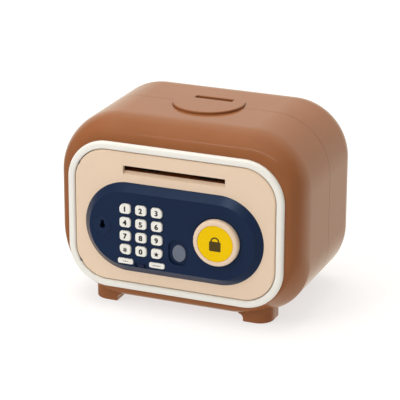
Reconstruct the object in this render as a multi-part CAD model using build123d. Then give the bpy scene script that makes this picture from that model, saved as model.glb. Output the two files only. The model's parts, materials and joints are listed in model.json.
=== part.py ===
from build123d import *
import math
import os

# Toy safe coin bank, in millimetres. +Z is up, the front faces -Y, and the origin is on the
# surface it stands on, below the middle of its overall width and depth.
# Depths called "y" below are measured backwards from the rim plane, where the bezel ring meets
# the casing. Places on the door are (x, z) measured from the middle of that ring.

# Casing
body_width = 185.0
body_height = 136.0
body_depth = 121.0
body_corner = 42.0
foot_height = 4.0
wall = 2.6
seam_depth = 62.5
seam_gap = 0.3
front_round_depth = 24.0
low_corner_swell = 10.2
rear_round = 21.7
tongue_length = 2.4
tongue_inset = 1.4
tongue_wall = 1.0

# Bezel ring round the door
rim_width = 163.0
rim_height = 109.0
rim_corner = 30.0
rim_centre_height = 70.0
ring_band = 5.4
ring_bulge = 3.0
collar_wall = 2.7
collar_depth = 11.0
ledge_front = 0.9
ledge_back = 2.9
ledge_reach = 2.0
ledge_start_x = -62.0

# Door
door_gap = 0.6
door_front = -2.5
door_back = 0.7
door_edge_round = 1.2
skirt_width = 142.0
skirt_height = 88.0
skirt_corner = 20.0
skirt_wall = 2.0
skirt_back = 14.0
cover_back = 26.0
cover_post = (58.0, 32.0)
hinge_x = -72.5
hinge_y = -1.5
hinge_pin_r = 0.7
hinge_pin_low = 30.0
hinge_pin_high = 43.5
door_swing = 105.0
swing_clearance = 0.1

# Control panel
panel_z = -6.5
panel_base = (135.2, 66.5)
panel_face = (125.2, 55.2)
panel_front = -7.3
panel_spigot = (127.6, 59.0)
panel_pocket = (124.0, 55.0)
pocket_front = -5.3

# Keys
key_width = 8.4
key_height = 7.3
key_corner = 2.2
key_outer_corner = 3.8
key_front = -8.7
long_key_front = -8.3
key_travel = 1.0
key_pitch_x = 12.05
key_pitch_z = 10.15
key_middle_x = -22.5
key_top_z = 9.0
long_key_width = 11.7
long_key_height = 3.9
long_key_z = -30.4
slip = 0.2

# Fingerprint button, status window and lock
dish_centre = (5.6, -18.5)
dish_size = (15.0, 18.7)
dish_depth = 1.6
pad_centre = (5.9, -19.2)
pad_radii = (5.05, 6.35)
pad_front = -6.6
status_centre = (-22.9, -32.55)
lock_centre = (-53.0, -6.5)
lock_r = 6.8

# Knob and latch
knob_centre = (34.7, -6.2)
knob_r = 16.9
knob_front = -11.4
knob_back = -6.9
cap_r = 13.2
shaft_r = 3.0
crank_throw = 6.0
crank_swing = 60.0
peg_r = 1.5
bolt_front = 7.0
bolt_back = 9.0
bolt_tip_x = 72.3
bolt_travel = 6.0
solenoid_x = 52.0
running = 0.05

# Banknote feeder
slot_width = 77.0
slot_low = 34.4
slot_high = 38.8
lip_low = 32.5
drive_y = 10.0
drive_z = 31.2
drive_r = 4.5
idler_r = 2.8
gear_module = 0.8
gear_teeth = 20
pinion_teeth = 12
gear_x = -47.5
gear_width = 4.0

# Batteries, each a standard AA cell
cell_r = 7.25
cell_length = 50.5
tub_centre = (-14.5, -16.0)
tub_size = (56.0, 46.0)
tub_floor = 9.0

# Coin plate
coin_plate_r = 25.9
coin_plate_rise = 1.8
coin_plug_r = 22.4
coin_slot_length = 28.6
coin_slot_width = 5.2
coin_slot_behind = 8.5
coin_slot_right = 0.7

# Feet
foot_inner_x = 48.6
foot_outer_x = 68.2
foot_setback = 8.4
foot_length = 22.0
foot_front_corner = 11.0
foot_web = 3.5
foot_web_top = 6.2
pad_rise = 0.3

rim_y = -(body_depth + knob_front) / 2
body_centre_height = foot_height + body_height / 2
body_top = foot_height + body_height
back_y = rim_y + body_depth


def face_plane(y, height=rim_centre_height):
    """Upright plane at depth y, facing the front, with local x to the right and local y up."""
    return Plane(origin=(0, rim_y + y, height), x_dir=(1, 0, 0), z_dir=(0, -1, 0))


def slab(sketch, y_front, y_back, height=rim_centre_height):
    """The sketch extruded between two depths."""
    return extrude(face_plane(y_back, height) * sketch, y_back - y_front)


def body_outline(inset):
    return RectangleRounded(body_width - 2 * inset, body_height - 2 * inset, body_corner - inset)


def rounded(width, height, upper_corner, lower_corner):
    """Rectangle with one corner radius for its upper corners and another for its lower ones."""
    outline = Rectangle(width, height)
    outline = fillet(outline.vertices().group_by(Axis.Y)[0], lower_corner)
    return fillet(outline.vertices().group_by(Axis.Y)[-1], upper_corner)


def rim_outline(inset):
    return RectangleRounded(rim_width - 2 * inset, rim_height - 2 * inset, rim_corner - inset)


def skirt_outline(inset):
    return RectangleRounded(skirt_width - 2 * inset, skirt_height - 2 * inset, skirt_corner - inset)


def stadium(size):
    return Pos(0, panel_z) * SlotOverall(size[0], size[1])


def front_edges(part):
    return part.faces().sort_by(Axis.Y)[0].outer_wire().edges()


def back_edges(part):
    return part.faces().sort_by(Axis.Y)[-1].outer_wire().edges()


def block(x_range, y_range, z_range):
    """A box given by its x, y (depth) and z (door height) ranges."""
    size = [high - low for low, high in (x_range, y_range, z_range)]
    middle = [(low + high) / 2 for low, high in (x_range, y_range, z_range)]
    where = Pos(middle[0], rim_y + middle[1], rim_centre_height + middle[2])
    return where * Box(size[0], size[1], size[2])


def rod_y(centre, radius, y_front, y_back):
    return slab(Pos(centre[0], centre[1]) * Circle(radius), y_front, y_back)


def rod_x(y, z, radius, x_low, x_high):
    where = Plane(origin=(x_low, rim_y + y, rim_centre_height + z), x_dir=(0, 1, 0), z_dir=(1, 0, 0))
    return extrude(where * Circle(radius), x_high - x_low)


def rod_z(x, y, radius, z_low, z_high):
    where = Pos(x, rim_y + y, rim_centre_height + z_low)
    return where * Cylinder(radius, z_high - z_low, align=(Align.CENTER, Align.CENTER, Align.MIN))


def front_section(turn, inset):
    """Section of the rounded front: a quarter ellipse swept from the rim out to the full body."""
    swell = math.sin(turn)
    half_growth = (body_width - rim_width) / 2
    steep = front_round_depth * math.sin(turn)
    flat = half_growth * math.cos(turn)
    across = inset * steep / math.hypot(steep, flat)
    along = inset * flat / math.hypot(steep, flat)
    width = rim_width + (body_width - rim_width) * swell - 2 * across
    height = rim_height + (body_height - rim_height) * swell - 2 * across
    corner = rim_corner + (body_corner - rim_corner) * swell - across
    low_corner = corner + low_corner_swell * math.sin(2 * turn)
    centre = rim_centre_height + (body_centre_height - rim_centre_height) * swell
    depth = front_round_depth * (1 - math.cos(turn)) + along
    return face_plane(depth, centre) * rounded(width, height, corner, low_corner)


def front_form(inset):
    """Solid form of the front half, out to the seam. Its lower corners are tucked in more."""
    steps = 8
    swelling = loft([front_section(math.pi / 2 * k / steps, inset) for k in range(steps + 1)])
    straight = slab(body_outline(inset), front_round_depth, seam_depth, body_centre_height)
    return swelling + straight


def rear_form(inset):
    """Solid form of the rear half, from the seam back."""
    form = slab(body_outline(inset), seam_depth, body_depth - inset, body_centre_height)
    return fillet(back_edges(form), rear_round - inset)


def foot_outline():
    """Plan of the front left foot: its outer front corner is well rounded."""
    middle_x = -(foot_inner_x + foot_outer_x) / 2
    middle_y = rim_y + foot_setback + foot_length / 2
    plan = Rectangle(foot_outer_x - foot_inner_x, foot_length)
    plan = fillet(plan.vertices().group_by(Axis.X)[0].sort_by(Axis.Y)[0], foot_front_corner)
    plan = fillet(plan.vertices().group_by(Axis.Y)[-1].sort_by(Axis.X)[0], 3.0)
    return Pos(middle_x, middle_y) * plan


def foot(at_right, at_back):
    """One foot, tall enough to run into the casing's underside."""
    post = extrude(Pos(0, 0, pad_rise) * foot_outline(), 24.0)
    post = fillet(post.faces().sort_by(Axis.Z)[0].outer_wire().edges(), 1.0)
    web_x = -foot_inner_x + foot_web
    web_y = rim_y + foot_setback + foot_length / 2
    web_z = foot_web_top - foot_web
    from_inner_edge = (Align.MAX, Align.CENTER, Align.MIN)
    web = Pos(web_x, web_y, web_z) * Box(foot_web, foot_length, 9, align=from_inner_edge)
    web -= Pos(web_x, web_y, web_z) * Rot(90, 0, 0) * Cylinder(foot_web, foot_length)
    post += web
    if at_back:
        middle = rim_y + body_depth / 2
        post = mirror(post, Plane(origin=(0, middle, 0), z_dir=(0, 1, 0)))
    if at_right:
        post = mirror(post, Plane.YZ)
    return post


def foot_pad(x_sign, y):
    plan = Pos(x_sign * (foot_inner_x + foot_outer_x) / 2, y) * RectangleRounded(11.5, 12.5, 3.5)
    return extrude(plan, 1.5)


def foot_pads():
    front_y = rim_y + foot_setback + foot_length / 2
    rear_y = rim_y + body_depth - foot_setback - foot_length / 2
    pads = [foot_pad(side, y) for side in (-1, 1) for y in (front_y, rear_y)]
    return Compound(children=[pad.solid() for pad in pads])


screw_spots = [(x, z) for x in (-76.5, 76.5) for z in (-50.0, 54.0)]
screw_head_y = 97.8
screw_end_y = 46.0


def coin_opening():
    centre_y = rim_y + seam_depth
    hole = Pos(0, centre_y, body_top - 6) * Cylinder(coin_plug_r + 0.1, 12)
    seat = Pos(0, centre_y, body_top + 2.8) * Cylinder(coin_plate_r + 0.4, 8)
    return hole + seat


def front_shell():
    shell = front_form(0) + foot(False, False) + foot(True, False)
    shell -= front_form(wall)
    for spot in screw_spots:
        shell += rod_y(spot, 4.0, 12.5, seam_depth) & front_form(0.5)
        shell -= rod_y(spot, 1.45, screw_end_y - 1, seam_depth + 1)
    shell -= slab(body_outline(tongue_inset - 0.1), seam_depth - tongue_length, seam_depth + 1,
                  body_centre_height)
    shell -= slab(rim_outline(collar_wall - 0.1), -1, wall + 3)
    shell -= slab(Rectangle(300, 300), seam_depth - seam_gap / 2, seam_depth + 20, body_centre_height)
    shell -= coin_opening()
    shell -= foot_pads()
    return shell


def rear_shell():
    shell = rear_form(0) + foot(False, True) + foot(True, True)
    shell -= rear_form(wall)
    shell -= slab(body_outline(wall), seam_depth - 1, seam_depth + 10, body_centre_height)
    tongue = slab(body_outline(tongue_inset), seam_depth - tongue_length + 0.2, seam_depth + 2.0,
                  body_centre_height)
    tongue -= slab(body_outline(tongue_inset + tongue_wall), 0, seam_depth + 3.0, body_centre_height)
    for spot in screw_spots:
        shell += rod_y(spot, 4.6, seam_depth, body_depth) & rear_form(0.5)
        shell -= rod_y(spot, 1.6, seam_depth - 1, body_depth + 1)
        shell -= rod_y(spot, 3.2, screw_head_y, body_depth + 1)
    shell -= slab(Rectangle(300, 300), 0, seam_depth + seam_gap / 2, body_centre_height)
    shell += tongue
    shell -= coin_opening()
    shell -= foot_pads()
    return shell


def shell_screws():
    screws = []
    for spot in screw_spots:
        screw = rod_y(spot, 1.4, screw_end_y, screw_head_y)
        screw += rod_y(spot, 2.9, screw_head_y, screw_head_y + 2.2)
        screw -= slab(Pos(spot[0], spot[1]) * Rectangle(3.6, 0.8), screw_head_y + 1, 120)
        screw -= slab(Pos(spot[0], spot[1]) * Rectangle(0.8, 3.6), screw_head_y + 1, 120)
        screws.append(screw.solid())
    return Compound(children=screws)


def coin_plate():
    centre_y = rim_y + seam_depth
    top = body_top + coin_plate_rise
    flange = Pos(0, centre_y, top - 1.5) * Cylinder(coin_plate_r, 3.0)
    flange = fillet(flange.faces().sort_by(Axis.Z)[-1].edges(), 0.9)
    plug = Pos(0, centre_y, body_top - 3.5) * Cylinder(coin_plug_r, 5.0)
    slot = Pos(coin_slot_right, centre_y + coin_slot_behind, top) * Box(coin_slot_length, coin_slot_width, 40)
    plate = flange + plug - slot
    mouth = [e for e in plate.faces().sort_by(Axis.Z)[-1].inner_wires()[0].edges()]
    return chamfer(mouth, 0.5)


def ring_flange(growth=0.0):
    """The rounded front of the ring. Grown, it is the space that the open door keeps clear of."""
    front = -ring_bulge - growth
    flange = slab(rim_outline(0.0), front, 0)
    flange = fillet(front_edges(flange), 2.3)
    flange -= slab(rim_outline(ring_band + growth), front, 0)
    return fillet(flange.faces().sort_by(Axis.Y)[0].inner_wires()[0].edges(), 1.5)


def bezel_ring():
    flange = ring_flange()
    collar = slab(rim_outline(collar_wall), 0, collar_depth)
    ledge = slab(rim_outline(collar_wall), ledge_front, ledge_back)
    ledge -= slab(rim_outline(ring_band + ledge_reach), ledge_front, ledge_back)
    ledge &= block((ledge_start_x, 90), (0, 5), (-60, 60))
    ring = flange + (collar - slab(rim_outline(ring_band), 0, collar_depth)) + ledge
    for side in (-1, 1):
        edge_x = rim_width / 2 - collar_wall
        edge_z = rim_height / 2 - collar_wall
        for offset in (-30.0, 30.0):
            ring += block((offset - 5, offset + 5), (2.8, 4.4),
                          sorted((side * (edge_z - 0.5), side * (edge_z + 0.9))))
        ring += block(sorted((side * (edge_x - 0.5), side * (edge_x + 0.9))), (2.8, 4.4), (10, 18))
        low, high = sorted((side * (hinge_pin_high + 0.1), side * (hinge_pin_low - 2)))
        ring -= rod_z(hinge_x, hinge_y, hinge_pin_r + 0.01, low, high)
    z = knob_centre[1]
    ring -= block((70, 82), (bolt_front - 0.6, bolt_back + 0.6), (z - 6.5, z + 6.5))
    return ring


def hinge_pin(side):
    low, high = sorted((side * hinge_pin_low, side * hinge_pin_high))
    return rod_z(hinge_x, hinge_y, hinge_pin_r, low, high)


def door_panel():
    inset = ring_band + door_gap
    plate = slab(rim_outline(inset), door_front, door_back)
    plate = fillet(front_edges(plate), door_edge_round)
    panel = plate + slab(skirt_outline(0) - skirt_outline(skirt_wall), door_back, skirt_back)
    panel -= slab(stadium((panel_spigot[0] + 0.4, panel_spigot[1] + 0.4)), door_front, door_back)
    for x in (-cover_post[0], cover_post[0]):
        for z in (-cover_post[1], cover_post[1]):
            panel += rod_y((x, z), 3.0, door_back - 0.5, cover_back - 2.1)
            panel -= rod_y((x, z), 1.05, 10.0, cover_back)
    rail_top = knob_centre[1] + 8.2
    rail_low = knob_centre[1] - 8.2
    for rail in ((rail_top, rail_top + 1.5), (rail_low - 1.5, rail_low)):
        panel += block((55, 69.5), (bolt_front - 1.5, bolt_back + 0.5), rail)
        panel += block((64.5, 69.5), (door_back - 0.5, bolt_back + 0.5), rail)
    panel -= block((-slot_width / 2, slot_width / 2), (door_front - 1, 3), (slot_low, slot_high))
    lip = Plane(origin=(-slot_width / 2, rim_y, rim_centre_height), x_dir=(0, 1, 0), z_dir=(1, 0, 0))
    wedge = Polyline((door_front, lip_low), (door_back, slot_low), (door_front, slot_low), close=True)
    panel -= extrude(lip * make_face(wedge), slot_width)
    for side in (-1, 1):
        low, high = sorted((side * (hinge_pin_low - 0.5), side * hinge_pin_high))
        panel -= rod_z(hinge_x, hinge_y, hinge_pin_r + running, low, high)
    z = knob_centre[1]
    panel -= block((68, 72), (bolt_front - 0.4, bolt_back + 0.4), (z - 6.4, z + 6.4))
    hinge = Axis((hinge_x, rim_y + hinge_y, 0), (0, 0, 1))
    for beside_hinge in ((33, 41), (-41, -33)):
        edge = ring_flange(swing_clearance) & block((-90, hinge_x + 6), (-5, 0), beside_hinge)
        for swing in (door_swing - 15, door_swing - 7, door_swing):
            panel -= edge.rotate(hinge, swing)
    return panel


def key_spots():
    """Name, place and more rounded outer corner of each of the twelve keys."""
    names = [["1", "2", "3"], ["4", "5", "6"], ["7", "8", "9"], ["hash", "0", "star"]]
    corners = {"1": (-1, 1), "3": (1, 1), "hash": (-1, -1), "star": (1, -1)}
    spots = []
    for row, line in enumerate(names):
        for column, name in enumerate(line):
            x = key_middle_x + (column - 1) * key_pitch_x
            z = key_top_z - row * key_pitch_z
            spots.append((name, x, z, corners.get(name)))
    return spots


def long_key_spots():
    return [("clear", key_middle_x - key_pitch_x), ("enter", key_middle_x + key_pitch_x)]


def key_outline(outer_corner, grow=0.0):
    width = key_width + 2 * grow
    height = key_height + 2 * grow
    outline = Rectangle(width, height)
    if outer_corner is None:
        return fillet(outline.vertices(), key_corner + grow)
    wanted = Vector(outer_corner[0] * width / 2, outer_corner[1] * height / 2)
    square = [v for v in outline.vertices() if (Vector(v.X, v.Y) - wanted).length > 0.1]
    special = [v for v in outline.vertices() if (Vector(v.X, v.Y) - wanted).length <= 0.1]
    outline = fillet(special, key_outer_corner + grow)
    plain = [v for v in outline.vertices()
             if any((Vector(v.X, v.Y) - Vector(s.X, s.Y)).length < 0.01 for s in square)]
    return fillet(plain, key_corner + grow)


def push_key(x, z, outline, flange, front, edge_round):
    """A key cap with a flange behind the panel and a short stem."""
    cap = slab(Pos(x, z) * outline, front, pocket_front + 0.1)
    cap = fillet(front_edges(cap), edge_round)
    cap += slab(Pos(x, z) * flange, pocket_front + 0.1, pocket_front + 0.9)
    return cap + rod_y((x, z), 1.5, pocket_front + 0.9, pocket_front + 1.9)


def number_key(x, z, corner):
    flange = RectangleRounded(key_width + 1.6, key_height + 1.4, key_corner)
    return push_key(x, z, key_outline(corner), flange, key_front, 0.7)


def long_key(x):
    outline = RectangleRounded(long_key_width, long_key_height, 1.3)
    flange = RectangleRounded(long_key_width + 1.6, long_key_height + 0.9, 1.5)
    return push_key(x, long_key_z, outline, flange, long_key_front, 0.5)


def control_panel():
    base = face_plane(door_front) * stadium(panel_base)
    top = face_plane(panel_front) * stadium(panel_face)
    panel = loft([base, top]) + slab(stadium(panel_spigot), door_front, door_back)
    panel -= slab(stadium(panel_pocket), pocket_front, door_back)
    dish = Pos(dish_centre[0], dish_centre[1]) * RectangleRounded(dish_size[0], dish_size[1], 6.0)
    backing = RectangleRounded(dish_size[0] + 3, dish_size[1] + 3, 7.5)
    floor_back = panel_front + dish_depth + 1.4
    panel += slab(Pos(dish_centre[0], dish_centre[1]) * backing, panel_front + 0.5, floor_back)
    panel -= slab(dish, panel_front, panel_front + dish_depth)
    pad = Ellipse(pad_radii[0] + slip, pad_radii[1] + slip)
    panel -= slab(Pos(pad_centre[0], pad_centre[1]) * pad, panel_front, 0)
    panel -= rod_y(knob_centre, knob_r + 0.8, panel_front, panel_front + 0.8)
    panel += rod_y(knob_centre, 6.0, panel_front + 0.8, -1.0)
    panel -= rod_y(knob_centre, shaft_r + running, panel_front, 0)
    panel += rod_y(lock_centre, lock_r + 1.8, pocket_front - 0.5, -2.0)
    panel -= rod_y(lock_centre, lock_r + running, panel_front - 1, 2.0)
    window = RectangleRounded(9.2, 3.2, 0.4)
    panel -= slab(Pos(status_centre[0], status_centre[1]) * window, panel_front, panel_front + 1.2)
    for _, x, z, corner in key_spots():
        panel -= slab(Pos(x, z) * key_outline(corner, slip), panel_front - 1, pocket_front + 1)
    long_hole = RectangleRounded(long_key_width + 2 * slip, long_key_height + 2 * slip, 1.5)
    for _, x in long_key_spots():
        panel -= slab(Pos(x, long_key_z) * long_hole, panel_front - 1, pocket_front + 1)
    return panel


def status_window():
    bar = RectangleRounded(4.4, 2.5, 0.3)
    return slab(Pos(status_centre[0], status_centre[1]) * bar, panel_front + 0.1, panel_front + 1.2)


def fingerprint_pad():
    where = Pos(pad_centre[0], pad_centre[1])
    back = panel_front + dish_depth + 1.5
    pad = slab(where * Ellipse(pad_radii[0], pad_radii[1]), pad_front, back)
    pad = fillet(front_edges(pad), 0.5)
    pad += slab(where * Ellipse(pad_radii[0] + 1.3, pad_radii[1] + 1.3), back, back + 0.6)
    return pad + rod_y(pad_centre, 1.5, back + 0.6, back + 1.1)


def circuit_board():
    outline = Pos(-14.0, panel_z) * RectangleRounded(61, 50, 3) & stadium((119.5, 51.0))
    return slab(outline, -0.9, door_back)


def keypad_mat():
    outline = Pos(-14.0, panel_z) * RectangleRounded(59, 50, 3) & stadium((119.0, 50.0))
    mat = slab(outline, -1.9, -0.9)
    spots = [(x, z) for _, x, z, _ in key_spots()]
    spots += [(x, long_key_z + 0.6) for _, x in long_key_spots()]
    spots.append(pad_centre)
    for spot in spots:
        mat += rod_y(spot, 1.8, -2.3, -1.9)
    return mat


def knob_ring():
    ring = rod_y(knob_centre, knob_r, knob_front, knob_back)
    ring = fillet(front_edges(ring), 2.2)
    ring -= rod_y(knob_centre, cap_r + 0.1, knob_front - 1, knob_front + 1.6)
    ring = fillet(ring.faces().sort_by(Axis.Y)[0].inner_wires()[0].edges(), 0.5)
    ring += rod_y(knob_centre, 8.0, knob_back, panel_front + 0.7)
    return ring - rod_y(knob_centre, shaft_r, knob_front + 2.6, 0)


def knob_cap():
    cap = rod_y(knob_centre, cap_r, knob_front + 0.3, knob_front + 1.6)
    return fillet(front_edges(cap), 0.4)


def peg_spot():
    """Place of the crank peg at rest: below the shaft, half the swing to its left."""
    angle = math.radians(crank_swing / 2)
    return (knob_centre[0] - crank_throw * math.sin(angle), knob_centre[1] - crank_throw * math.cos(angle))


def knob_shaft():
    shaft = rod_y(knob_centre, shaft_r, knob_front + 2.6, 6.5)
    shaft += rod_y(knob_centre, 8.5, 5.0, 6.5)
    return shaft + rod_y(peg_spot(), peg_r, 6.5, bolt_back + 0.3)


def latch_bolt():
    z = knob_centre[1]
    peg_x, peg_z = peg_spot()
    bolt = block((22, 42), (bolt_front, bolt_back), (z - 11, z + 8))
    bolt += block((41, 61.5), (bolt_front, bolt_back), (z - 8, z + 8))
    bolt += block((61, bolt_tip_x), (bolt_front, bolt_back), (z - 6, z + 6))
    slot = SlotOverall(5.6, 2 * (peg_r + 0.15), rotation=90)
    bolt -= slab(Pos(peg_x, peg_z - 0.4) * slot, bolt_front - 1, bolt_back + 1)
    for x in (solenoid_x, solenoid_x - bolt_travel):
        bolt -= block((x - 2, x + 2), (bolt_front - 1, bolt_back + 1), (z + 4.8, z + 9))
    return bolt


def lock_solenoid():
    z = knob_centre[1] + 12.0
    frame = block((solenoid_x - 6, solenoid_x + 6), (3.5, 12.5), (z, z + 16))
    return frame - rod_z(solenoid_x, 8.0, peg_r + 0.08, z - 1, z + 13)


def solenoid_plunger():
    z = knob_centre[1] + 12.0
    return rod_z(solenoid_x, 8.0, peg_r, z - 3.2, z + 12)


def lock_barrel():
    barrel = rod_y(lock_centre, lock_r, panel_front - 0.3, 6.0)
    barrel = fillet(front_edges(barrel), 0.5)
    barrel -= rod_y((lock_centre[0] + 0.6, lock_centre[1] + 0.3), 2.1, panel_front - 1, 2.0)
    keyway = Pos(lock_centre[0] + 0.6, lock_centre[1] + 2.3) * Rectangle(2.4, 4.2)
    return barrel - slab(keyway, panel_front - 1, 2.0)


def lock_cam():
    arm = Pos(lock_centre[0], lock_centre[1] + 3.5) * SlotOverall(15.0, 6.0, rotation=90)
    return slab(arm, 6.0, 7.4)


def involute(base_r, roll):
    return (base_r * (math.cos(roll) + roll * math.sin(roll)),
            base_r * (math.sin(roll) - roll * math.cos(roll)))


def gear_outline(teeth, turn):
    """Involute spur gear outline with a little backlash, turned by the given angle."""
    pitch_r = gear_module * teeth / 2
    base_r = pitch_r * math.cos(math.radians(20))
    tip_r = pitch_r + 0.9 * gear_module
    root_r = pitch_r - 1.15 * gear_module
    pitch_roll = math.tan(math.radians(20))
    half_tooth = math.pi / 2 / teeth - 0.06 / pitch_r + pitch_roll - math.radians(20)
    tip_roll = math.sqrt((tip_r / base_r) ** 2 - 1)
    start_roll = math.sqrt(max(0.0, (root_r / base_r) ** 2 - 1))
    flank = [involute(base_r, start_roll + (tip_roll - start_roll) * k / 5) for k in range(6)]
    if root_r < base_r:
        flank.insert(0, (root_r, 0.0))
    points = []
    for tooth in range(teeth):
        centre = turn + 2 * math.pi * tooth / teeth
        for side in (-1, 1):
            run = flank if side < 0 else list(reversed(flank))
            for x, y in run:
                angle = centre + side * (half_tooth - math.atan2(y, x))
                points.append((math.hypot(x, y) * math.cos(angle), math.hypot(x, y) * math.sin(angle)))
    return make_face(Polyline(*points, close=True))


def gear(teeth, turn, y, z, bore):
    """A gear on an axis along X; local x of its outline points back and local y points up."""
    where = Plane(origin=(gear_x, rim_y + y, rim_centre_height + z), x_dir=(0, 1, 0), z_dir=(1, 0, 0))
    return extrude(where * (gear_outline(teeth, turn) - Circle(bore)), gear_width)


pinion_z = drive_z - gear_module * (gear_teeth + pinion_teeth) / 2


def roller_gear():
    return gear(gear_teeth, -math.pi / 2, drive_y, drive_z, 1.5)


def motor_pinion():
    return gear(pinion_teeth, math.pi / 2 + math.pi / pinion_teeth, drive_y, pinion_z, 1.0)


def roller_shaft():
    return rod_x(drive_y, drive_z, 1.5, -49.5, 43.5)


def roller_sleeves(radius, bore, z):
    sleeves = []
    for x in (-22.0, 22.0):
        sleeve = rod_x(drive_y, z, radius, x - 6, x + 6) - rod_x(drive_y, z, bore, x - 7, x + 7)
        sleeves.append(sleeve.solid())
    return Compound(children=sleeves)


idler_z = drive_z + drive_r + idler_r + 0.1


def idler_shaft():
    return rod_x(drive_y, idler_z, 1.0, -43.0, 43.0)


def note_motor():
    can = rod_x(drive_y, pinion_z, 7.5, -38, -12)
    can &= block((-38, -12), (drive_y - 6, drive_y + 7.5), (pinion_z - 8, pinion_z + 8))
    can += rod_x(drive_y, pinion_z, 3.0, -39.2, -38)
    return can + rod_x(drive_y, pinion_z, 0.9, -48.0, -39.2)


def note_guide():
    """Throat behind the banknote slot: two plates, two side cheeks and openings for the rollers."""
    guide = block((-41.5, 41.5), (1.2, 22), (slot_low - 1.5, slot_low - 0.3))
    guide += block((-41.5, 41.5), (1.2, 22), (slot_high + 0.2, slot_high + 1.4))
    for side in (-1, 1):
        cheek_x = sorted((side * 40.0, side * 41.5))
        guide += block(cheek_x, (1.2, 22), (drive_z - 4, slot_high + 1.4))
        roller_x = (side * 22.0 - 7, side * 22.0 + 7)
        guide -= block(roller_x, (drive_y - 5.2, drive_y + 5.2), (slot_low - 3, slot_low))
        guide -= block(roller_x, (drive_y - 3.5, drive_y + 3.5), (slot_high, slot_high + 3))
    guide -= rod_x(drive_y, drive_z, 1.5 + running, -50, 50)
    return guide - rod_x(drive_y, idler_z, 1.0 + running, -50, 50)


speaker_centre = (42.0, 4.0)


def speaker():
    cone = rod_y(speaker_centre, 13.0, 21.0, cover_back - 2.1)
    return cone + rod_y(speaker_centre, 7.0, 17.5, 21.0)


def inner_cover():
    box = slab(skirt_outline(0), skirt_back, cover_back)
    box = fillet(back_edges(box), 1.8)
    box -= slab(skirt_outline(skirt_wall), skirt_back, cover_back - 2)
    tub = Pos(tub_centre[0], tub_centre[1])
    box += slab(tub * RectangleRounded(tub_size[0] + 3, tub_size[1] + 3, 2.5), tub_floor - 1.5,
                cover_back - 1)
    box -= slab(tub * RectangleRounded(tub_size[0], tub_size[1], 1.0), tub_floor, cover_back + 1)
    for x in (-cover_post[0], cover_post[0]):
        for z in (-cover_post[1], cover_post[1]):
            box -= rod_y((x, z), 1.2, cover_back - 3, cover_back + 1)
            box -= rod_y((x, z), 2.5, cover_back - 1.1, cover_back + 1)
    box -= block((-40.5, 40.5), (cover_back - 4, cover_back + 2), (slot_low - 0.4, slot_high + 0.4))
    for ring, count in ((0.0, 1), (4.0, 6), (8.0, 12)):
        for k in range(count):
            angle = 2 * math.pi * k / count
            spot = (speaker_centre[0] + ring * math.cos(angle), speaker_centre[1] + ring * math.sin(angle))
            box -= rod_y(spot, 0.9, cover_back - 4, cover_back + 1)
    return box


def battery_cover():
    outline = RectangleRounded(tub_size[0] - 0.5, tub_size[1] - 0.5, 0.9)
    lid = slab(Pos(tub_centre[0], tub_centre[1]) * outline, cover_back - 2, cover_back - 0.1)
    grip = Pos(tub_centre[0] + 20, tub_centre[1]) * SlotOverall(14, 3, rotation=90)
    return lid - slab(grip, cover_back - 1.0, cover_back + 1)


def cell_rows():
    return [tub_centre[1] + 15.2 * k for k in (-1, 0, 1)]


def end_for_end(shape, flipped):
    """The middle cell and its spring face the other way from the outer two."""
    middle = Plane(origin=(tub_centre[0], 0, 0), z_dir=(1, 0, 0))
    return mirror(shape, middle) if flipped else shape


def battery(z, flipped):
    x_low = tub_centre[0] - tub_size[0] / 2 + 4.2
    y = tub_floor + cell_r + 0.1
    cell = rod_x(y, z, cell_r, x_low, x_low + cell_length - 1.0)
    cell += rod_x(y, z, 2.7, x_low + cell_length - 1.0, x_low + cell_length)
    return end_for_end(cell, flipped)


def battery_springs():
    springs = []
    y = tub_floor + cell_r + 0.1
    x = tub_centre[0] - tub_size[0] / 2
    for row, z in enumerate(cell_rows()):
        where = Plane(origin=(x + 0.9, rim_y + y, rim_centre_height + z), x_dir=(0, 0, 1), z_dir=(1, 0, 0))
        path = Helix(pitch=0.95, height=2.8, radius=3.2)
        wire = sweep(Plane(path @ 0, z_dir=path % 0) * Circle(0.3), path=path, is_frenet=True)
        springs.append(end_for_end(where * wire, row == 1).solid())
    return Compound(children=springs)


def contact_plates():
    plates = []
    y = tub_floor + cell_r + 0.1
    left = tub_centre[0] - tub_size[0] / 2
    right = tub_centre[0] + tub_size[0] / 2
    for z in cell_rows():
        for x in (left + 0.1, right - 0.55):
            plates.append(block((x, x + 0.45), (y - 5, y + 5), (z - 4.5, z + 4.5)).solid())
    return Compound(children=plates)


def cover_screws():
    screws = []
    for x in (-cover_post[0], cover_post[0]):
        for z in (-cover_post[1], cover_post[1]):
            screw = rod_y((x, z), 1.0, 12.0, cover_back - 1.1)
            screw += rod_y((x, z), 2.2, cover_back - 1.1, cover_back - 0.1)
            screw -= slab(Pos(x, z) * Rectangle(2.8, 0.6), cover_back - 0.6, cover_back + 1)
            screws.append(screw.solid())
    return Compound(children=screws)


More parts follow.
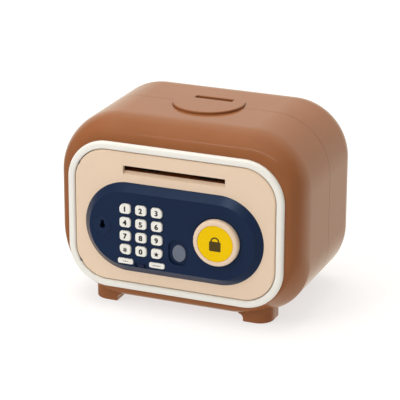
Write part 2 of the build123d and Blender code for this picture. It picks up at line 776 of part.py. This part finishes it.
nodes = {
    "front_shell": front_shell(),
    "rear_shell": rear_shell(),
    "shell_screws": shell_screws(),
    "foot_pads": foot_pads(),
    "coin_plate": coin_plate(),
    "bezel_ring": bezel_ring(),
    "upper_hinge_pin": hinge_pin(1),
    "lower_hinge_pin": hinge_pin(-1),
    "door_panel": door_panel(),
    "control_panel": control_panel(),
    "status_window": status_window(),
    "fingerprint_pad": fingerprint_pad(),
    "keypad_mat": keypad_mat(),
    "circuit_board": circuit_board(),
    "knob_ring": knob_ring(),
    "knob_cap": knob_cap(),
    "knob_shaft": knob_shaft(),
    "latch_bolt": latch_bolt(),
    "lock_solenoid": lock_solenoid(),
    "solenoid_plunger": solenoid_plunger(),
    "lock_barrel": lock_barrel(),
    "lock_cam": lock_cam(),
    "note_guide": note_guide(),
    "note_motor": note_motor(),
    "motor_pinion": motor_pinion(),
    "roller_gear": roller_gear(),
    "roller_shaft": roller_shaft(),
    "drive_rollers": roller_sleeves(drive_r, 1.5, drive_z),
    "idler_shaft": idler_shaft(),
    "idler_rollers": roller_sleeves(idler_r, 1.0, idler_z),
    "speaker": speaker(),
    "inner_cover": inner_cover(),
    "battery_cover": battery_cover(),
    "battery_springs": battery_springs(),
    "contact_plates": contact_plates(),
    "cover_screws": cover_screws(),
}
for name, x, z, corner in key_spots():
    nodes["key_" + name] = number_key(x, z, corner)
for name, x in long_key_spots():
    nodes[name + "_key"] = long_key(x)
for number, z in enumerate(cell_rows(), start=1):
    nodes["battery_" + str(number)] = battery(z, number == 2)

os.makedirs("parts", exist_ok=True)
for name, shape in nodes.items():
    export_step(shape, "parts/" + name + ".step")
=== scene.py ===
import json
import math

import bmesh
import bpy
from mathutils import Matrix, Vector


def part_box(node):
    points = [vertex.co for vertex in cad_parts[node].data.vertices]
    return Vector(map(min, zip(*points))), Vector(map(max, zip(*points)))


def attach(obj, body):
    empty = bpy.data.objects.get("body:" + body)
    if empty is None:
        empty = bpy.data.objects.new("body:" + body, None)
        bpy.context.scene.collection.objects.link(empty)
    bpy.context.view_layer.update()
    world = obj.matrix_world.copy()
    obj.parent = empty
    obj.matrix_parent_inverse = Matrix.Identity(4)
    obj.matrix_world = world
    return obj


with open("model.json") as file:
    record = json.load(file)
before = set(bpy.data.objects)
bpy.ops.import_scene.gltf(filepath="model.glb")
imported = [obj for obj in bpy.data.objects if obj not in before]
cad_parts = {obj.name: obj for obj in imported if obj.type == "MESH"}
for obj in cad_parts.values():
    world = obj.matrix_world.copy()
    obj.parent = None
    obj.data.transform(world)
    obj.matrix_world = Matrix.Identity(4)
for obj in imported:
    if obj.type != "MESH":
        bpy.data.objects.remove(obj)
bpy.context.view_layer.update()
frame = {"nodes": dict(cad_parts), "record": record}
nodes = frame["nodes"]

MM = 0.001


def linear(red, green, blue):
    """Linear RGBA of an sRGB colour given from 0 to 255."""
    parts = []
    for value in (red, green, blue):
        share = value / 255
        parts.append(share / 12.92 if share <= 0.04045 else ((share + 0.055) / 1.055) ** 2.4)
    return (*parts, 1.0)


def scaled(colour, share):
    """The colour, lighter or darker by that share."""
    return (*[min(1.0, part * share) for part in colour[:3]], 1.0)


class Nodes:
    """Small helper for building one node material."""

    def __init__(self, name):
        self.material = bpy.data.materials.new(name)
        self.material.use_nodes = True
        self.tree = self.material.node_tree
        self.shader = self.tree.nodes["Principled BSDF"]
        self.coordinates = self.tree.nodes.new("ShaderNodeTexCoord").outputs["Object"]

    def link(self, source, target):
        self.tree.links.new(source, target)

    def stretched(self, scale):
        """Object coordinates, scaled differently along each axis."""
        mapping = self.tree.nodes.new("ShaderNodeMapping")
        mapping.inputs["Scale"].default_value = scale
        self.link(self.coordinates, mapping.inputs["Vector"])
        return mapping.outputs["Vector"]

    def noise(self, scale, detail=3.0, vector=None):
        """Noise from 0 to 1, with that many features per metre."""
        node = self.tree.nodes.new("ShaderNodeTexNoise")
        node.inputs["Scale"].default_value = scale
        node.inputs["Detail"].default_value = detail
        self.link(vector or self.coordinates, node.inputs["Vector"])
        return node.outputs["Fac"]

    def spread(self, value, low, high, start=0.3, end=0.7):
        """The value's stretch from start to end, made to run from low to high."""
        node = self.tree.nodes.new("ShaderNodeMapRange")
        node.inputs["From Min"].default_value = start
        node.inputs["From Max"].default_value = end
        node.inputs["To Min"].default_value = low
        node.inputs["To Max"].default_value = high
        self.link(value, node.inputs["Value"])
        return node.outputs["Result"]

    def mix(self, share, first, second):
        """Colour from first, a socket or a fixed colour, to second, a fixed colour."""
        node = self.tree.nodes.new("ShaderNodeMix")
        node.data_type = "RGBA"
        factor, start, end = node.inputs[0], node.inputs[6], node.inputs[7]
        self.link(share, factor)
        if isinstance(first, tuple):
            start.default_value = first
        else:
            self.link(first, start)
        end.default_value = second
        return node.outputs[2]

    def colour(self, socket):
        self.link(socket, self.shader.inputs["Base Color"])

    def roughness(self, socket):
        self.link(socket, self.shader.inputs["Roughness"])

    def bump(self, height, strength, distance, below=None):
        """Adds a bump of that depth in metres, on top of another bump if one is given."""
        node = self.tree.nodes.new("ShaderNodeBump")
        node.inputs["Strength"].default_value = strength
        node.inputs["Distance"].default_value = distance
        self.link(height, node.inputs["Height"])
        if below is not None:
            self.link(below, node.inputs["Normal"])
        self.link(node.outputs["Normal"], self.shader.inputs["Normal"])
        return node.outputs["Normal"]


def plastic(name, colour, roughness, grain=0.05, mottle=0.04, specular=0.5):
    """Moulded plastic: faint flow mottling, darker specks, uneven gloss, soft waves and a fine grain."""
    made = Nodes(name)
    flow = made.spread(made.noise(28.0, 4.0), 0.0, 1.0)
    mottled = made.mix(flow, scaled(colour, 1 - mottle), scaled(colour, 1 + mottle))
    specks = made.spread(made.noise(900.0, 2.0), 0.0, 0.5, 0.62, 0.8)
    made.colour(made.mix(specks, mottled, scaled(colour, 0.9)))
    made.roughness(made.spread(made.noise(55.0, 5.0), roughness - 0.04, roughness + 0.05))
    waves = made.bump(made.noise(45.0, 2.0), 0.12, 0.0006)
    made.bump(made.noise(2600.0, 2.0), grain, 0.00008, waves)
    made.shader.inputs["Specular IOR Level"].default_value = specular
    return made.material


def brushed_metal(name, colour, roughness):
    """Metal with fine lines drawn along its depth and a few darker handling marks."""
    made = Nodes(name)
    lines = made.noise(3000.0, 2.0, made.stretched((1.0, 0.03, 1.0)))
    marks = made.spread(made.noise(120.0, 4.0), 0.0, 1.0, 0.45, 0.75)
    made.colour(made.mix(marks, colour, scaled(colour, 0.8)))
    made.roughness(made.spread(lines, roughness - 0.08, roughness + 0.12))
    made.bump(lines, 0.15, 0.00005)
    made.shader.inputs["Metallic"].default_value = 1.0
    return made.material


def circuit_lacquer():
    """Green board with paler tracks under the lacquer and small solder dots."""
    made = Nodes("circuit_lacquer")
    tracks = made.tree.nodes.new("ShaderNodeTexBrick")
    tracks.inputs["Scale"].default_value = 160.0
    tracks.inputs["Color1"].default_value = linear(28, 84, 52)
    tracks.inputs["Color2"].default_value = linear(34, 96, 60)
    tracks.inputs["Mortar"].default_value = linear(70, 128, 84)
    made.link(made.coordinates, tracks.inputs["Vector"])
    dots = made.spread(made.noise(500.0, 1.0), 0.0, 1.0, 0.66, 0.7)
    made.colour(made.mix(dots, tracks.outputs["Color"], linear(170, 160, 120)))
    made.roughness(made.spread(made.noise(90.0), 0.25, 0.4))
    made.bump(tracks.outputs["Fac"], 0.2, 0.00004)
    return made.material


def cell_sleeve():
    """Plain battery sleeve with a copper-coloured band towards one end."""
    made = Nodes("cell_sleeve")
    axes = made.tree.nodes.new("ShaderNodeSeparateXYZ")
    made.link(made.coordinates, axes.inputs["Vector"])
    band = made.spread(axes.outputs["X"], 0.0, 1.0, 0.0005, 0.0008)
    made.colour(made.mix(band, linear(38, 40, 44), linear(176, 112, 66)))
    made.roughness(made.spread(made.noise(80.0), 0.22, 0.34))
    made.bump(made.noise(1500.0), 0.05, 0.00005)
    return made.material


# Linear colours of the visible plastics
BROWN = (0.30, 0.106, 0.038, 1.0)
CREAM = (0.84, 0.648, 0.485, 1.0)
WHITE = (0.88, 0.865, 0.815, 1.0)
NAVY = (0.0092, 0.0203, 0.0595, 1.0)
YELLOW = (0.89, 0.575, 0.0, 1.0)
BLUISH_SHINE = (0.55, 0.75, 1.0, 1.0)

# One finish for each material slot of the record
finishes = {
    "brown_plastic": plastic("brown_satin_plastic", BROWN, 0.13),
    "cream_plastic": plastic("cream_satin_plastic", CREAM, 0.34, mottle=0.02),
    "white_plastic": plastic("white_satin_plastic", WHITE, 0.32, mottle=0.015),
    "navy_plastic": plastic("navy_satin_plastic", NAVY, 0.17, mottle=0.06),
    "yellow_plastic": plastic("yellow_satin_plastic", YELLOW, 0.36, mottle=0.02, specular=0.08),
    "grey_rubber": plastic("grey_soft_pad", linear(105, 112, 130), 0.55, grain=0.12),
    "dark_rubber": plastic("dark_rubber", linear(38, 38, 40), 0.65, grain=0.25, mottle=0.1),
    "blue_lens": plastic("blue_lens", linear(26, 36, 70), 0.18, grain=0.02),
    "black_plastic": plastic("black_grained_plastic", linear(30, 30, 33), 0.5, grain=0.3, mottle=0.1),
    "board_green": circuit_lacquer(),
    "steel": brushed_metal("bright_steel", linear(180, 182, 186), 0.3),
    "brass_metal": brushed_metal("dark_brass", linear(168, 140, 80), 0.3),
    "white_nylon": plastic("white_nylon", linear(222, 222, 214), 0.45, grain=0.1),
    "cell_wrap": cell_sleeve(),
}
lock_face = plastic("navy_lock_face", scaled(NAVY, 1.05), 0.3, mottle=0.06)
for material in (finishes["navy_plastic"], lock_face):
    material.node_tree.nodes["Principled BSDF"].inputs["Specular Tint"].default_value = BLUISH_SHINE
legend_dark = plastic("legend_print", linear(34, 32, 34), 0.5, grain=0.1)
legend_grey = plastic("legend_print_grey", linear(150, 148, 146), 0.5, grain=0.1)
knob_print = plastic("knob_print", linear(84, 64, 8), 0.45, grain=0.1)

SMOOTH_ANGLE = math.radians(35.0)


def smooth(thing):
    """Rounds the shading of a CAD node, keeping its real edges."""
    bpy.context.view_layer.objects.active = thing
    for other in bpy.context.selected_objects:
        other.select_set(False)
    thing.select_set(True)
    bpy.ops.object.shade_smooth_by_angle(angle=SMOOTH_ANGLE)
    thing.select_set(False)


slot_of = {part["node"]: part["material_slot"] for part in frame["record"]["subparts"]}
for name, thing in nodes.items():
    thing.data.materials.clear()
    thing.data.materials.append(finishes[slot_of[name]])
    smooth(thing)
nodes["lock_barrel"].data.materials[0] = lock_face

# Prints on the keys and the knob, in mm
INK = 0.03
BLOCK_INK = 0.04
OVERPRINT = 0.01
DIGIT_HEIGHT = 3.7
DIGIT_SHARE_OF_FONT_SIZE = 0.7
STROKE_GROWTH = 0.05
LEGEND_DROP = 0.3
BOLD_SHIFTS = ((0, 0), (-0.25, 0), (0.25, 0), (0, -0.14), (0, 0.14))
BOLD_STEP = 0.002


def front_of(node, drop=0.0):
    """Middle of a node's front face, or that many mm below it."""
    low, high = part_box(node)
    return Vector(((low[0] + high[0]) / 2, low[1], (low[2] + high[2]) / 2 - drop * MM))


def new_piece(name, mesh, material, body):
    thing = bpy.data.objects.new(name, mesh)
    bpy.context.scene.collection.objects.link(thing)
    mesh.materials.clear()
    mesh.materials.append(material)
    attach(thing, body)


def print_layer(name, outlines, centre, material, body, thickness=INK):
    """Flat print made of closed outlines in mm (x, z), lying on the surface at the given centre."""
    shape = bmesh.new()
    for outline in outlines:
        shape.faces.new([shape.verts.new((x * MM, 0.0, z * MM)) for x, z in outline])
    grown = bmesh.ops.extrude_face_region(shape, geom=shape.faces[:])
    lifted = [item for item in grown["geom"] if isinstance(item, bmesh.types.BMVert)]
    bmesh.ops.translate(shape, verts=lifted, vec=(0.0, -thickness * MM, 0.0))
    bmesh.ops.translate(shape, verts=shape.verts, vec=centre)
    bmesh.ops.recalc_face_normals(shape, faces=shape.faces)
    mesh = bpy.data.meshes.new(name)
    shape.to_mesh(mesh)
    shape.free()
    new_piece(name, mesh, material, body)


def digit(name, character, centre, body):
    """A printed digit, made bold by overlapping copies a little apart, standing on the key's face."""
    curve = bpy.data.curves.new(name + "_curve", "FONT")
    curve.body = character
    curve.size = DIGIT_HEIGHT * MM / DIGIT_SHARE_OF_FONT_SIZE
    curve.extrude = INK / 2 * MM
    curve.offset = STROKE_GROWTH * MM
    curve.align_x = "CENTER"
    curve.align_y = "CENTER"
    holder = bpy.data.objects.new(name + "_holder", curve)
    bpy.context.scene.collection.objects.link(holder)
    bpy.context.view_layer.update()
    thin = bpy.data.meshes.new_from_object(holder.evaluated_get(bpy.context.evaluated_depsgraph_get()))
    bpy.data.objects.remove(holder)
    bold = bmesh.new()
    for k, (x, y) in enumerate(BOLD_SHIFTS):
        bold.from_mesh(thin)
        shift = (x * MM, y * MM, k * BOLD_STEP * MM)
        bmesh.ops.translate(bold, verts=bold.verts[-len(thin.vertices):], vec=shift)
    mesh = bpy.data.meshes.new(name)
    bold.to_mesh(mesh)
    bold.free()
    mesh.transform(Matrix.Translation(centre) @ Matrix.Rotation(math.radians(90), 4, "X"))
    new_piece(name, mesh, legend_dark, body)


def star_outline(outer, inner, points=5):
    outline = []
    for k in range(2 * points):
        radius = outer if k % 2 == 0 else inner
        angle = math.radians(90 + 180 / points * k)
        outline.append((radius * math.cos(angle), radius * math.sin(angle)))
    return outline


def bar(x_low, z_low, x_high, z_high, lean=0.0):
    """Outline of a bar whose top leans to the right."""
    return [(x_low, z_low), (x_high, z_low), (x_high + lean, z_high), (x_low + lean, z_high)]


def arc(radius, start, end, steps, centre=(0.0, 0.0)):
    """Points of an arc between two angles in degrees."""
    angles = [math.radians(start + (end - start) * k / steps) for k in range(steps + 1)]
    return [(centre[0] + radius * math.cos(a), centre[1] + radius * math.sin(a)) for a in angles]


def star_key(centre, body):
    print_layer("star_print", [star_outline(2.05, 0.95)], centre, legend_dark, body)


def hash_key(centre, body):
    posts = [bar(-0.95, -1.6, -0.35, 1.6, lean=0.25), bar(0.2, -1.6, 0.8, 1.6, lean=0.25)]
    print_layer("hash_posts", posts, centre, legend_dark, body)
    bars = [bar(-1.5, 0.3, 1.5, 0.9), bar(-1.5, -0.9, 1.5, -0.3)]
    over = centre - Vector((0.0, OVERPRINT * MM, 0.0))
    print_layer("hash_bars", bars, over, legend_dark, body)


def long_key(name, widths, gap=0.3, height=0.7):
    """A row of short bars in place of the small word on a long key."""
    bars = []
    left = -(sum(widths) + gap * (len(widths) - 1)) / 2
    for width in widths:
        bars.append(bar(left, -height / 2, left + width, height / 2))
        left += width + gap
    place = front_of(name + "_key")
    print_layer(name + "_print", bars, place, legend_grey, name + "_key_button")


def padlock_sign():
    """A plain padlock on the knob's yellow face."""
    place = front_of("knob_cap")
    shackle_foot = (0.0, 1.6)
    shackle = arc(3.4, 0, 180, 24, shackle_foot) + arc(2.3, 180, 0, 24, shackle_foot)
    print_layer("lock_sign_shackle", [shackle], place, knob_print, "knob")
    half_width, top, low, corner = 3.4, 0.8, -4.6, 0.9
    block = []
    for k, spot in enumerate(((half_width, top), (-half_width, top), (-half_width, low), (half_width, low))):
        block += arc(corner, 90 * k, 90 * (k + 1), 6, spot)
    print_layer("lock_sign_block", [block], place, knob_print, "knob", BLOCK_INK)


for name in ("1", "2", "3", "4", "5", "6", "7", "8", "9", "hash", "0", "star"):
    centre = front_of("key_" + name, LEGEND_DROP)
    body = "key_" + name + "_button"
    if name == "star":
        star_key(centre, body)
    elif name == "hash":
        hash_key(centre, body)
    else:
        digit("digit_" + name, name, centre, body)
long_key("clear", (1.0, 1.3, 0.8))
long_key("enter", (1.5, 1.1, 1.6, 1.0))
padlock_sign()


def pale_floor(half_size=12.0):
    """A pale paper sheet, lit a little from within so that it shows almost white."""
    shape = bmesh.new()
    bmesh.ops.create_grid(shape, x_segments=8, y_segments=8, size=half_size)
    mesh = bpy.data.meshes.new("floor")
    shape.to_mesh(mesh)
    shape.free()
    floor = bpy.data.objects.new("floor", mesh)
    bpy.context.scene.collection.objects.link(floor)
    paper = Nodes("floor_paper")
    paper.shader.inputs["Roughness"].default_value = 0.9
    paper.shader.inputs["Specular IOR Level"].default_value = 0.1
    paper.shader.inputs["Emission Color"].default_value = (1.0, 1.0, 1.0, 1.0)
    paper.shader.inputs["Emission Strength"].default_value = 0.68
    fibres = paper.spread(paper.noise(6.0), 0.0, 1.0)
    paper.colour(paper.mix(fibres, (0.36, 0.36, 0.36, 1.0), (0.38, 0.38, 0.38, 1.0)))
    floor.visible_glossy = False
    mesh.materials.append(paper.material)
    return floor


def studio_world():
    """Warm light that grows brighter towards the back and the ceiling."""
    world = bpy.data.worlds.new("studio")
    bpy.context.scene.world = world
    world.use_nodes = True
    tree = world.node_tree
    heading = tree.nodes.new("ShaderNodeSeparateXYZ")
    tree.links.new(tree.nodes.new("ShaderNodeTexCoord").outputs["Generated"], heading.inputs["Vector"])
    total = tree.nodes.new("ShaderNodeMath")
    ramps = (("Y", 0.25, 0.9, 0.24, 0.9), ("Z", 0.5, 0.95, 0.0, 0.4))
    for k, (axis, start, end, low, high) in enumerate(ramps):
        ramp = tree.nodes.new("ShaderNodeMapRange")
        ramp.interpolation_type = "SMOOTHSTEP"
        ramp.inputs["From Min"].default_value = start
        ramp.inputs["From Max"].default_value = end
        ramp.inputs["To Min"].default_value = low
        ramp.inputs["To Max"].default_value = high
        tree.links.new(heading.outputs[axis], ramp.inputs["Value"])
        tree.links.new(ramp.outputs["Result"], total.inputs[k])
    background = tree.nodes["Background"]
    background.inputs["Color"].default_value = (1.0, 0.92, 0.78, 1.0)
    tree.links.new(total.outputs["Value"], background.inputs["Strength"])


def softbox(name, position, target, width, height, power, reflected=False):
    """A rectangular lamp; only a reflected one shows in glossy surfaces."""
    lamp = bpy.data.lights.new(name, "AREA")
    lamp.shape = "RECTANGLE"
    lamp.size = width
    lamp.size_y = height
    lamp.energy = power
    thing = bpy.data.objects.new(name, lamp)
    bpy.context.scene.collection.objects.link(thing)
    thing.location = position
    thing.visible_glossy = reflected
    aim = Vector(target) - Vector(position)
    thing.rotation_mode = "QUATERNION"
    thing.rotation_quaternion = aim.to_track_quat("-Z", "Y")


def photo_camera():
    """A long lens from above and to the right, as in the photo."""
    lens = bpy.data.cameras.new("camera")
    lens.lens = 180.656
    lens.sensor_width = 36.0
    lens.clip_start = 0.05
    lens.clip_end = 30.0
    camera = bpy.data.objects.new("camera", lens)
    bpy.context.scene.collection.objects.link(camera)
    camera.location = (0.513947, -1.266224, 0.561699)
    camera.rotation_euler = [math.radians(angle) for angle in (70.19033, -0.23085, 22.30774)]
    bpy.context.scene.camera = camera


pale_floor()
studio_world()
softbox("key_light", (-0.9, -1.3, 1.1), (0.0, 0.0, 0.07), width=0.9, height=0.9, power=12.5)
softbox("top_light", (-0.2, 0.1, 1.4), (0.0, 0.0, 0.1), width=1.2, height=1.2, power=12.5)
softbox("strip_light", (0.1, -0.75, 1.2), (0.0, 0.0, 0.1), width=1.4, height=0.1, power=0.9, reflected=True)
photo_camera()
bpy.context.scene.view_settings.view_transform = "Standard"
